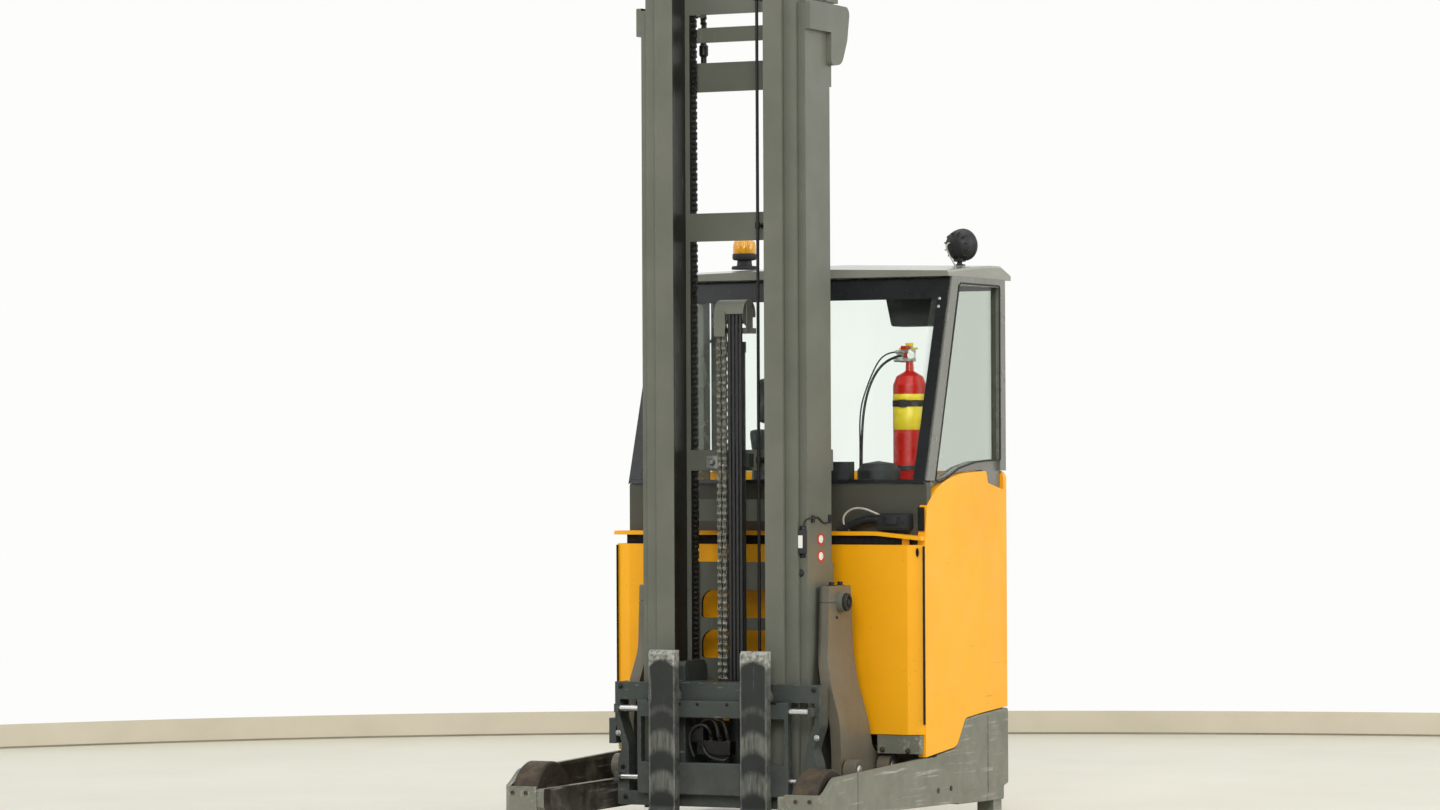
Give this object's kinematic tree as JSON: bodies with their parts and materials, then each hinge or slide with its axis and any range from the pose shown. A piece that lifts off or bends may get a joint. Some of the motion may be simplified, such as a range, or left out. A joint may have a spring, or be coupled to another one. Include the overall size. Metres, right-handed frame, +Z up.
{
  "type": "reach truck",
  "caption": "Electric reach truck with a closed cab, wheel arms, and a telescopic mast with forks on a reach carriage.",
  "frame": {"origin": "on the floor, at the middle of the overall length and width, with the forks lowered and the mast drawn back", "axes": "+Z up, -Y ahead along the forks, +X towards the closed side of the cab"},
  "size_m": [1.27, 2.55, 3.15],
  "materials": {
    "amber_paint": "gloss",
    "grey_paint": "satin",
    "anthracite_paint": "satin",
    "bright_steel": "polished",
    "bare_steel": "worn",
    "cast_metal": "rough",
    "tyre_tread": "worn",
    "black_plastic": "textured",
    "grey_plastic": "textured",
    "hose_rubber": "matt",
    "clear_glass": "clear",
    "seat_fabric": "woven",
    "red_paint": "gloss",
    "amber_lens": "translucent"
  },
  "bodies": {
    "chassis": {"chassis_frame": "grey_paint", "wheel_arm_left": "grey_paint", "wheel_arm_right": "grey_paint", "reach_cylinder": "anthracite_paint", "battery": "cast_metal", "battery_cover": "amber_paint", "battery_lid": "amber_paint", "side_panel_left": "amber_paint", "side_panel_right": "amber_paint", "rear_cover": "amber_paint", "cab_front_wall": "grey_paint", "cab_frame": "grey_paint", "cab_roof": "grey_plastic", "cab_windows": "clear_glass", "cab_floor": "black_plastic", "seat": "seat_fabric", "dash_console": "black_plastic", "fire_extinguisher": "red_paint", "extinguisher_hoses": "hose_rubber", "beacon": "amber_lens", "battery_connector": "black_plastic"},
    "load_wheel_left": {"load_wheel_left": "tyre_tread"},
    "load_wheel_right": {"load_wheel_right": "tyre_tread"},
    "drive_unit": {"drive_unit": "cast_metal"},
    "drive_wheel": {"drive_wheel": "tyre_tread"},
    "cab_door": {"cab_door": "grey_paint", "door_window": "clear_glass"},
    "reach_carriage": {"reach_carriage": "grey_paint"},
    "tilt_cylinders": {"tilt_cylinders": "anthracite_paint"},
    "tilt_rods": {"tilt_rods": "bright_steel"},
    "mast_outer": {"mast_outer": "grey_paint", "lift_cylinders": "anthracite_paint", "chain_anchor_runs": "bare_steel"},
    "mast_middle": {"mast_middle": "grey_paint", "lift_rods": "bright_steel", "lift_chains": "bare_steel"},
    "mast_inner": {"mast_inner": "grey_paint", "free_lift_cylinder": "anthracite_paint"},
    "free_lift_head": {"free_lift_head": "grey_paint", "free_lift_chain": "bare_steel", "mast_hoses": "hose_rubber"},
    "fork_carriage": {"fork_carriage": "anthracite_paint"},
    "side_shifter": {"side_shifter": "anthracite_paint", "fork_left": "anthracite_paint", "fork_right": "anthracite_paint"}
  },
  "joints": [
    {"name": "load_wheel_left_spin", "type": "hinge", "parent": "chassis", "child": "load_wheel_left", "pos_m": [-0.555, -0.362, 0.1425], "axis": [1, 0, 0], "continuous": true},
    {"name": "load_wheel_right_spin", "type": "hinge", "parent": "chassis", "child": "load_wheel_right", "pos_m": [0.555, -0.362, 0.1425], "axis": [1, 0, 0], "continuous": true},
    {"name": "steering", "type": "hinge", "parent": "chassis", "child": "drive_unit", "pos_m": [0, 0.993, 0.37], "axis": [0, 0, 1], "range_deg": [-90, 90]},
    {"name": "drive_wheel_spin", "type": "hinge", "parent": "drive_unit", "child": "drive_wheel", "pos_m": [0, 0.993, 0.1715], "axis": [1, 0, 0], "continuous": true},
    {"name": "cab_door_hinge", "type": "hinge", "parent": "chassis", "child": "cab_door", "pos_m": [-0.626, 1.159, 1.2], "axis": [0, 0, -1], "range_deg": [0, 95]},
    {"name": "reach", "type": "slide", "parent": "chassis", "child": "reach_carriage", "axis": [0, -1, 0], "range_m": [0, 0.55]},
    {"name": "tilt_cylinder_swing", "type": "hinge", "parent": "reach_carriage", "child": "tilt_cylinders", "pos_m": [0, 0.517, 0.235], "axis": [1, 0, 0], "range_deg": [-0.28, 0.84]},
    {"name": "tilt_rod_slide", "type": "slide", "parent": "tilt_cylinders", "child": "tilt_rods", "axis": [0, -1, 0], "range_m": [-0.01082, 0.03246]},
    {"name": "mast_tilt", "type": "hinge", "parent": "reach_carriage", "child": "mast_outer", "pos_m": [0, 0.2, 0.855], "axis": [1, 0, 0], "range_deg": [-3, 1]},
    {"name": "mast_lift", "type": "slide", "parent": "mast_outer", "child": "mast_middle", "axis": [0, 0, 1], "range_m": [0, 2.3], "deforming": ["chain_anchor_runs"]},
    {"name": "inner_lift", "type": "slide", "parent": "mast_middle", "child": "mast_inner", "axis": [0, 0, 1], "range_m": [0, 2.3], "deforming": ["lift_chains"]},
    {"name": "carriage_lift", "type": "slide", "parent": "mast_inner", "child": "fork_carriage", "axis": [0, 0, 1], "range_m": [0, 2.3], "deforming": ["free_lift_chain", "mast_hoses"]},
    {"name": "free_lift", "type": "slide", "parent": "mast_inner", "child": "free_lift_head", "axis": [0, 0, 1], "range_m": [0, 1.15]},
    {"name": "side_shift", "type": "slide", "parent": "fork_carriage", "child": "side_shifter", "axis": [1, 0, 0], "range_m": [-0.05, 0.05]}
  ],
  "couplings": [
    {"joint": "tilt_cylinder_swing", "follows": "mast_tilt", "ratio": -0.28},
    {"joint": "tilt_rod_slide", "follows": "mast_tilt", "m_per_rad": -0.62},
    {"joint": "inner_lift", "follows": "mast_lift", "ratio": 1},
    {"joint": "free_lift", "follows": "carriage_lift", "ratio": 0.5}
  ]
}
